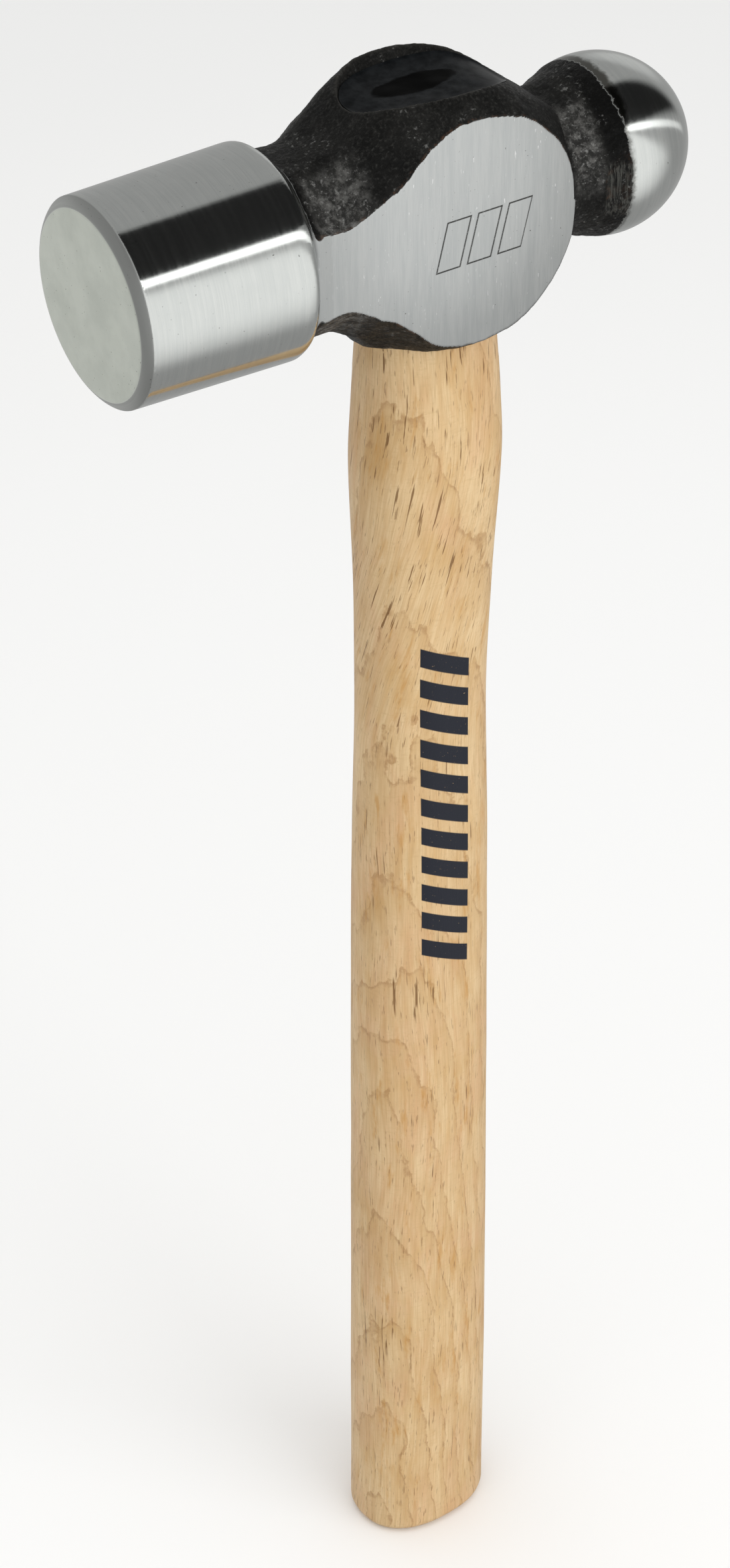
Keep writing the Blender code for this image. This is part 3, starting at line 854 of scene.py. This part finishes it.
def wood_material():
    """Pale, open-grained wood under a satin lacquer, with a printed column of slanted bars."""
    material, g, shader = new_material("lacquered_wood")
    place, x, y, z = g.millimetres()

    # The grain twists round the handle as it nears the head, and is nearly straight lower down.
    wander = g.noise(place, 34.0, 3, 0.5, stretch=(1, 1, 3))
    twist = g.math("MULTIPLY_ADD", wander, -0.7, g.step(z, 228.0, 318.0, 0.0, 1.3))
    sine = g.math("SINE", twist)
    cosine = g.math("COSINE", twist)
    turned_x = g.math("MULTIPLY_ADD", x, cosine, g.times(y, sine))
    turned_y = g.math("SUBTRACT", g.times(y, cosine), g.times(x, sine))
    grain = g.node("CombineXYZ", {0: turned_x, 1: turned_y, 2: z}).outputs[0]

    # Growth rings come out at the surface as thin wandering lines: close and steep toward the
    # butt, and further apart and less steep higher up.
    sway = g.noise(place, 22.0, 3, 0.55, stretch=(1, 1, 2.6))
    warp = g.noise(place, 3.2, 4, 0.6, stretch=(1, 1, 2))
    shell = g.times(x, g.step(z, 110.0, 220.0, 1.0, 0.3))
    shell = g.math("MULTIPLY_ADD", z, 0.12, g.math("MULTIPLY_ADD", y, 0.5, shell))
    shell = g.math("MULTIPLY_ADD", sway, 14.0, g.math("MULTIPLY_ADD", warp, 2.6, shell))
    ring = g.math("FRACT", g.math("DIVIDE", shell, 5.0))
    shade = g.window(ring, 0.35, 0.93, 0.97, 1.0)
    broken = g.step(g.noise(place, 3.0, 4, 0.7), 0.35, 0.62)
    line = g.times(g.window(ring, 0.88, 0.955, 0.97, 1.0), broken)

    patches = g.noise(place, 12.0, 4, 0.55, stretch=(1, 1, 2.2))
    blush = g.noise(place, 15.0, 4, 0.6, stretch=(1, 1, 1.8), twist=0.6)
    fibre = g.noise(grain, 0.34, 5, 0.65, stretch=(1, 1, 38))
    silk = g.noise(grain, 1.5, 4, 0.6, stretch=(1, 1, 11))
    flecks = g.noise(place, 0.55, 3, 0.6, stretch=(4, 4, 1))
    crowd = g.noise(place, 9.0, 3, 0.6, stretch=(1, 1, 2))
    long_pores = g.step(g.noise(grain, 0.5, 2, 0.5, stretch=(1, 1, 24)), 0.625, 0.67)
    upper = g.step(z, 225.0, 275.0, 0.0, 0.12)
    long_pores = g.times(long_pores, g.step(g.add(crowd, upper), 0.5, 0.64))
    short_pores = g.step(g.noise(grain, 0.34, 2, 0.5, stretch=(1, 1, 11)), 0.64, 0.71, 0, 0.6)
    pores = g.most(long_pores, short_pores)
    amber = g.noise(grain, 2.6, 4, 0.65, stretch=(1, 1, 6))

    colour = g.mix(g.step(patches, 0.3, 0.7), (0.715, 0.515, 0.285), (0.555, 0.335, 0.127))
    colour = g.mix(g.step(blush, 0.42, 0.66, 0, 0.75), colour, (0.66, 0.41, 0.225))
    colour = g.mix(g.step(silk, 0.3, 0.75, 0, 0.6), colour, (0.75, 0.58, 0.345))
    colour = g.mix(g.step(fibre, 0.3, 0.8, 0, 0.6), colour, (0.45, 0.27, 0.11))
    colour = g.mix(g.step(flecks, 0.5, 0.8, 0, 0.35), colour, (0.5, 0.32, 0.15))
    colour = g.mix(g.times(shade, 0.25), colour, (0.46, 0.26, 0.09))
    colour = g.mix(g.times(line, 0.5), colour, (0.33, 0.17, 0.06))
    colour = g.mix(g.step(amber, 0.56, 0.72, 0, 0.62), colour, (0.5, 0.25, 0.055))
    colour = g.mix(g.times(pores, 0.85), colour, (0.17, 0.075, 0.016))

    # The print is on the near side, and a little worn.
    bars = slanted_bars(g, x, z, low=177.6, high=259.0, left=-6.8, right=4.8, pitch=7.4,
                        share=0.6, lean=0.55)
    print_wear = g.step(g.noise(place, 0.5, 4, 0.7), 0.24, 0.34)
    bars = g.times(bars, g.step(y, 0.0, -1.0), print_wear)
    colour = g.mix(bars, colour, (0.004, 0.006, 0.015))

    roughness = g.step(fibre, 0.3, 0.7, 0.42, 0.52)
    roughness = g.blend(bars, roughness, 0.5)
    normal = g.bump(g.math("SUBTRACT", fibre, g.times(pores, 0.8)), 0.03)
    attach(g, shader, Base_Color=colour, Roughness=roughness, Normal=normal)
    shader.inputs["Specular IOR Level"].default_value = 0.3
    shader.inputs["Coat Weight"].default_value = 0.12
    shader.inputs["Coat Roughness"].default_value = 0.25
    return material


def resin_material():
    """Black resin with a paler skin toward the eye's wall, and a painted dark reflection: an oval
    in its middle painted deepest black and left without coat.
    """
    material, g, shader = new_material("black_resin_poured")
    place = g.millimetres((0, 0, HEAD_HEIGHT))[0]
    # Painted reflection: a dark oval in the middle is painted deepest black and has no coat.
    lumps = g.math("SUBTRACT", g.noise(place, 4.0, 3, 0.5), 0.5)
    dark_reflection_middle = (-1.0, 1.5, 0.0)
    dark_reflection_half_size = (8.5, 3.4, 1.0)
    reach = g.vector("DIVIDE", g.vector("SUBTRACT", place, dark_reflection_middle), dark_reflection_half_size)
    reach = g.node("SeparateXYZ", {0: reach}).outputs
    painted_dark_reflection = g.add(g.times(reach[0], reach[0]), g.times(reach[1], reach[1]))
    painted_dark_reflection = g.step(g.math("MULTIPLY_ADD", lumps, 1.2, painted_dark_reflection), 1.2, 0.85)
    skin = g.noise(place, 2.2, 4, 0.6)
    colour = g.mix(g.step(skin, 0.3, 0.7), (0.004, 0.0045, 0.005), (0.009, 0.010, 0.011))
    colour = g.mix(painted_dark_reflection, colour, (0.001, 0.001, 0.001))
    roughness = g.blend(painted_dark_reflection, g.step(skin, 0.3, 0.7, 0.1, 0.22), 0.08)
    coat = g.blend(painted_dark_reflection, g.step(skin, 0.25, 0.75, 0.04, 0.12), 0.0)
    normal = g.bump(g.noise(place, 5.0, 2, 0.5), 0.06)
    attach(g, shader, Base_Color=colour, Roughness=roughness, Normal=normal, Coat_Weight=coat)
    shader.inputs["Specular IOR Level"].default_value = 0.01
    shader.inputs["Coat Roughness"].default_value = 0.12
    return material


def wedge_wood_material():
    """Bare split wood."""
    material, g, shader = new_material("split_wedge_wood")
    place = g.millimetres()[0]
    fibre = g.noise(place, 0.4, 4, 0.6, stretch=(1, 1, 20))
    colour = g.mix(g.step(fibre, 0.3, 0.7), (0.5, 0.33, 0.18), (0.36, 0.22, 0.11))
    attach(g, shader, Base_Color=colour, Roughness=g.step(fibre, 0.3, 0.7, 0.55, 0.75),
           Normal=g.bump(fibre, 0.04))
    return material


def wedge_steel_material():
    """Dull rolled steel."""
    material, g, shader = new_material("rolled_wedge_steel")
    place = g.millimetres()[0]
    mill = g.noise(place, 0.5, 4, 0.6, stretch=(6, 1, 1))
    colour = g.mix(g.step(mill, 0.3, 0.7), (0.24, 0.24, 0.24), (0.38, 0.38, 0.37))
    attach(g, shader, Base_Color=colour, Roughness=g.step(mill, 0.3, 0.7, 0.4, 0.6),
           Normal=g.bump(mill, 0.02))
    shader.inputs["Metallic"].default_value = 1.0
    return material


# ---------------------------------------------------------------- studio


def make_floor():
    """Plain pale paper under the butt."""
    half = 6.0
    corners = [(-half, -half, 0), (half, -half, 0), (half, half, 0), (-half, half, 0)]
    floor = mesh_object("studio_floor", corners, [(0, 1, 2, 3)])
    material, g, shader = new_material("pale_paper")
    place = g.node("TexCoord").outputs["Object"]
    tone = g.mix(g.noise(place, 0.4, 2, 0.5), (0.92, 0.92, 0.92), (0.95, 0.95, 0.95))
    attach(g, shader, Base_Color=tone)
    shader.inputs["Roughness"].default_value = 0.9
    shader.inputs["Specular IOR Level"].default_value = 0.0
    floor.data.materials.append(material)
    floor.visible_glossy = False


def direction(azimuth, elevation):
    """Unit vector: azimuth 0 is toward -Y and 90 toward +X."""
    turn = math.radians(azimuth)
    rise = math.radians(elevation)
    level = math.cos(rise)
    return (math.sin(turn) * level, -math.cos(turn) * level, math.sin(rise))


def lobe(g, way, azimuth, elevation, start, full, strength):
    """A round soft light: its edge and its full part are cosines from its middle."""
    middle = direction(azimuth, elevation)
    near = g.node("VectorMath", {0: way, 1: middle}, operation="DOT_PRODUCT").outputs["Value"]
    return g.step(near, start, full, 0.0, strength)


def make_world():
    """A soft studio all round, brightest in front, with two weaker lights behind: one that the
    striking face reflects and one for the tops of the poll and the ball. A dark flag stands to
    the right, before a duller patch that reaches lower, with a strip of light along the flag's
    lower edge. Their edges are straight lines on a wall one unit away toward +X.
    """
    around = 0.42
    floor_level = 0.36
    patch_level = 0.38
    flag_level = 0.02
    world = bpy.data.worlds.new("studio")
    bpy.context.scene.world = world
    world.use_nodes = True
    g = Graph(world.node_tree)
    way = g.node("TexCoord").outputs["Generated"]
    toward_x, toward_y, toward_z = g.node("SeparateXYZ", {0: way}).outputs
    ahead = g.most(toward_x, 0.02)
    u = g.math("DIVIDE", toward_y, ahead)
    v = g.math("DIVIDE", toward_z, ahead)
    right_side = g.step(toward_x, 0.05, 0.12)

    level = g.add(lobe(g, way, 14, -3, 0.48, 0.97, 0.72), around)
    level = g.blend(g.step(toward_z, -0.7, -0.97), level, floor_level)
    toward_face = lobe(g, way, -152, -29, 0.7, 0.97, 0.32)
    behind = lobe(g, way, 130, 14, 0.93, 0.995, 0.22)
    level = g.add(level, toward_face, behind)

    # Heights above the slanted line that the flag's lower edge runs along.
    over = g.math("SUBTRACT", g.math("MULTIPLY_ADD", u, 0.79, v), 0.09)
    patch = g.times(g.step(over, -0.95, -0.5), g.step(u, 0.4, 0.2), right_side, 0.75)
    level = g.blend(patch, level, patch_level)
    flag = g.times(g.step(over, -0.09, 0.1), g.step(u, 0.33, 0.08), right_side)
    level = g.blend(flag, level, flag_level)

    # The strip widens and brightens toward the front.
    half_width = g.most(g.math("MULTIPLY_ADD", u, -0.08, 0.04), 0.04)
    off_middle = g.math("DIVIDE", g.math("ABSOLUTE", g.add(over, 0.18)), half_width)
    strip = g.times(g.step(off_middle, 1.5, 0.5), g.step(u, 0.3, 0.0), right_side)
    level = g.blend(strip, level, g.step(u, 0.1, -1.6, 1.0, 2.6))

    # Dull surfaces get a more even light, and the camera sees plain white.
    background = world.node_tree.nodes["Background"]
    path = g.node("LightPath").outputs
    fill = g.math("MULTIPLY_ADD", level, 0.35, 0.52)
    level = g.blend(path["Is Diffuse Ray"], level, fill)
    level = g.blend(path["Is Camera Ray"], level, 1.0)
    g.tree.links.new(level, background.inputs["Strength"])
    background.inputs["Color"].default_value = (1.0, 1.0, 0.985, 1.0)


def make_lamp(name, place, size, watts):
    """A rectangular lamp aimed at the handle's upper part, and not seen in reflections."""
    light = bpy.data.lights.new(name, "AREA")
    light.shape = "RECTANGLE"
    light.size, light.size_y = size
    light.energy = watts
    lamp = link(bpy.data.objects.new(name, light))
    lamp.location = place
    aim = Vector(LAMP_TARGET) - Vector(place)
    lamp.rotation_euler = aim.to_track_quat("-Z", "Y").to_euler()
    lamp.visible_glossy = False


def make_camera():
    """The camera looks down on the head from its left front."""
    azimuth = math.radians(CAMERA_AZIMUTH)
    roll = math.radians(CAMERA_ROLL)
    back = Vector(direction(CAMERA_AZIMUTH, CAMERA_ELEVATION))
    level = Vector((math.cos(azimuth), math.sin(azimuth), 0))
    upright = back.cross(level)
    right = math.cos(roll) * level + math.sin(roll) * upright
    up = back.cross(right)
    data = bpy.data.cameras.new("camera")
    data.sensor_width = SENSOR_WIDTH
    data.lens = CAMERA_LENS
    data.clip_start = 0.01
    camera = link(bpy.data.objects.new("camera", data))
    camera.matrix_world = Matrix((right, up, back)).transposed().to_4x4()
    camera.location = Vector(CAMERA_PLACE) + Vector((0, 0, HEAD_HEIGHT * MM))
    bpy.context.scene.camera = camera


# ---------------------------------------------------------------- assembly


poll_steel = head_material("turned_poll_steel", 0.75)
body_steel = head_material("forged_body_steel", 0.0)
ball_steel = head_material("turned_ball_steel", 0.4)
head = build_head([poll_steel, body_steel, ball_steel])
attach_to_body(head, "root")
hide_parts("hammer_head")

handle = build_handle(wood_material())
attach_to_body(handle, "root")
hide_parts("handle")

resin = build_resin(resin_material())
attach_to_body(resin, "root")
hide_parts("eye_seal")

frame["nodes"]["wooden_wedge"].material_slots[0].material = wedge_wood_material()
wedge_steel = wedge_steel_material()
for wedge in STEEL_WEDGES:
    frame["nodes"][wedge].material_slots[0].material = wedge_steel

# The studio: floor, surroundings, lamps and camera.
make_floor()
make_world()
make_lamp("soft_top", (-0.2, -0.2, 1.6), (1.6, 1.6), 10.5)
make_lamp("soft_front", (0.5, -1.3, 0.7), (1.2, 0.9), 7.0)
make_camera()
bpy.context.scene.view_settings.view_transform = "Standard"
